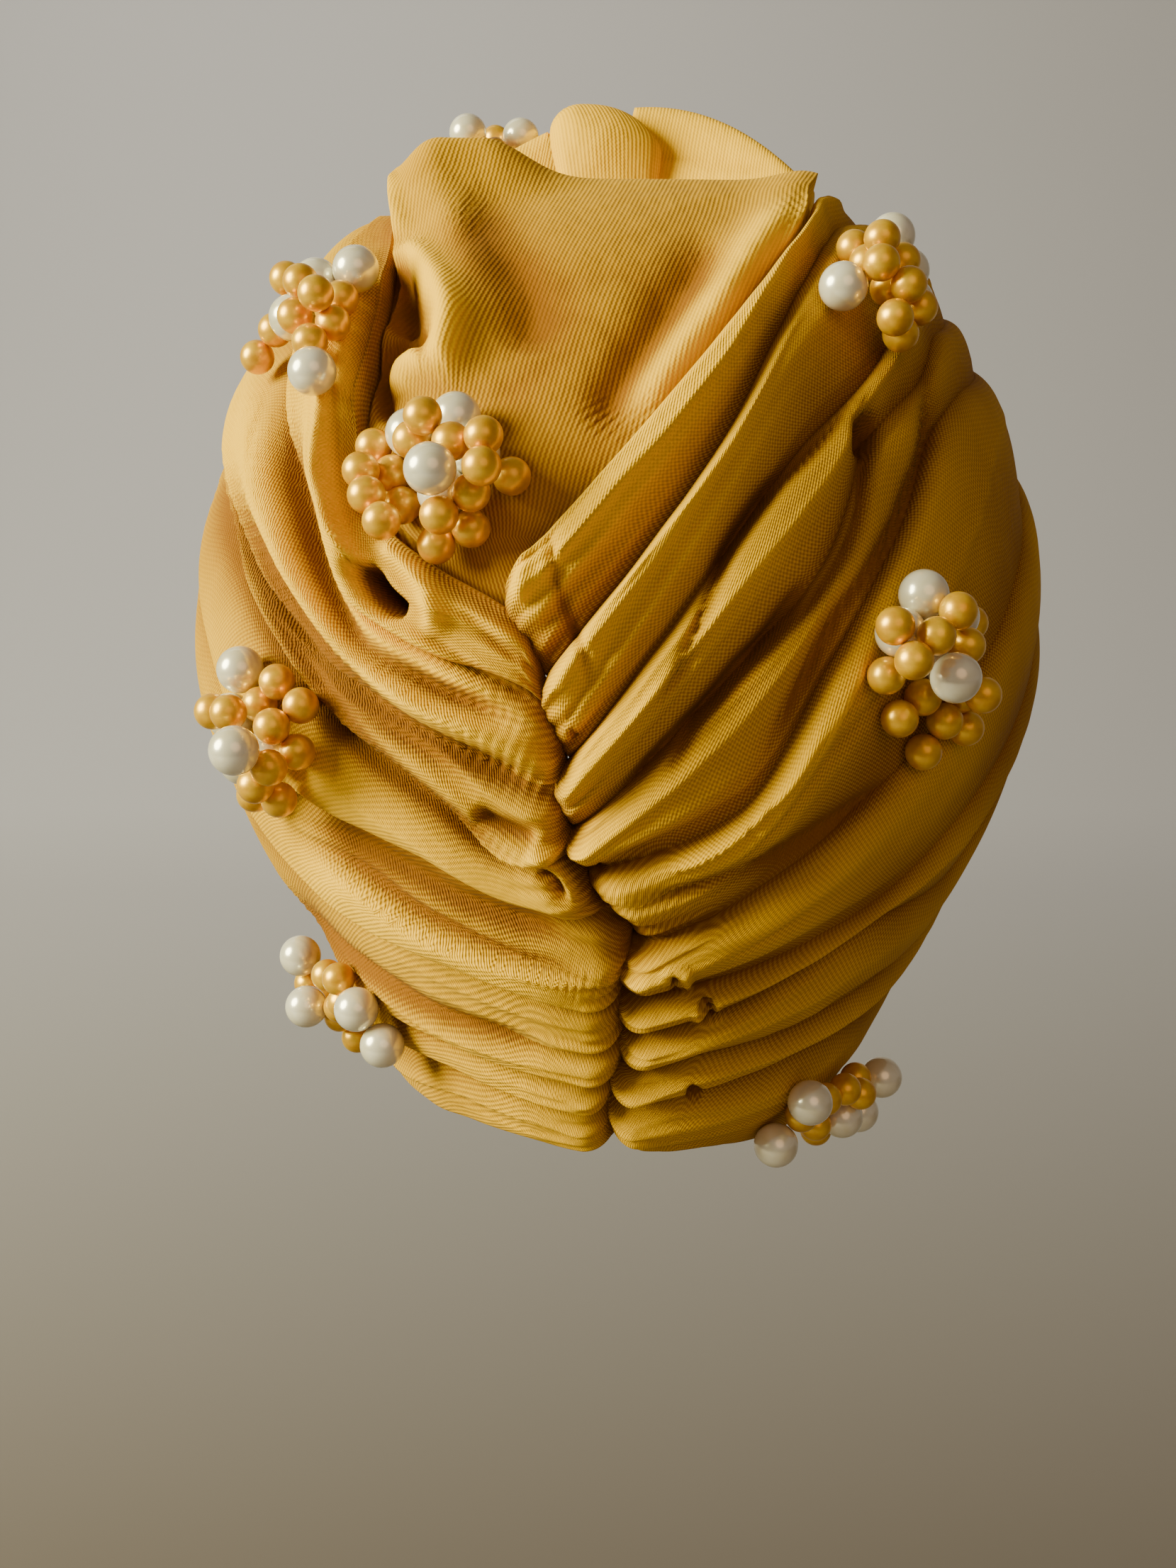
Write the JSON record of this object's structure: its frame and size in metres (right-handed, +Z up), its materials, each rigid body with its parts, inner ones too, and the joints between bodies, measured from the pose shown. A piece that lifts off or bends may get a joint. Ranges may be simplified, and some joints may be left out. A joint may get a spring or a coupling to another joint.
{
  "type": "turban hat",
  "caption": "Pleated jersey turban head wrap with a slanting back seam, a smooth crown panel folded over at the top, an upright front band and sewn clusters of pearls and gold beads.",
  "frame": {"origin": "the point where the top of the head touches the inside of the hat", "axes": "+Z up, +X towards the wearer's left, the wearer faces -Y and the back seam is on +Y"},
  "size_m": [0.173, 0.2018, 0.1941],
  "materials": {
    "mustard_jersey": "fine knit, matt",
    "pearl": "white pearls and a few pale gold beads, glossy"
  },
  "bodies": {
    "root": {"left_wing": "mustard_jersey", "right_wing": "mustard_jersey", "crown_panel": "mustard_jersey", "front_band": "mustard_jersey", "bead_cluster_a": "pearl", "bead_cluster_b": "pearl", "bead_cluster_c": "pearl", "bead_cluster_d": "pearl", "bead_cluster_e": "pearl", "bead_cluster_f": "pearl", "bead_cluster_g": "pearl", "bead_cluster_h": "pearl", "bead_cluster_i": "pearl", "bead_cluster_j": "pearl", "bead_cluster_k": "pearl"}
  },
  "joints": []
}
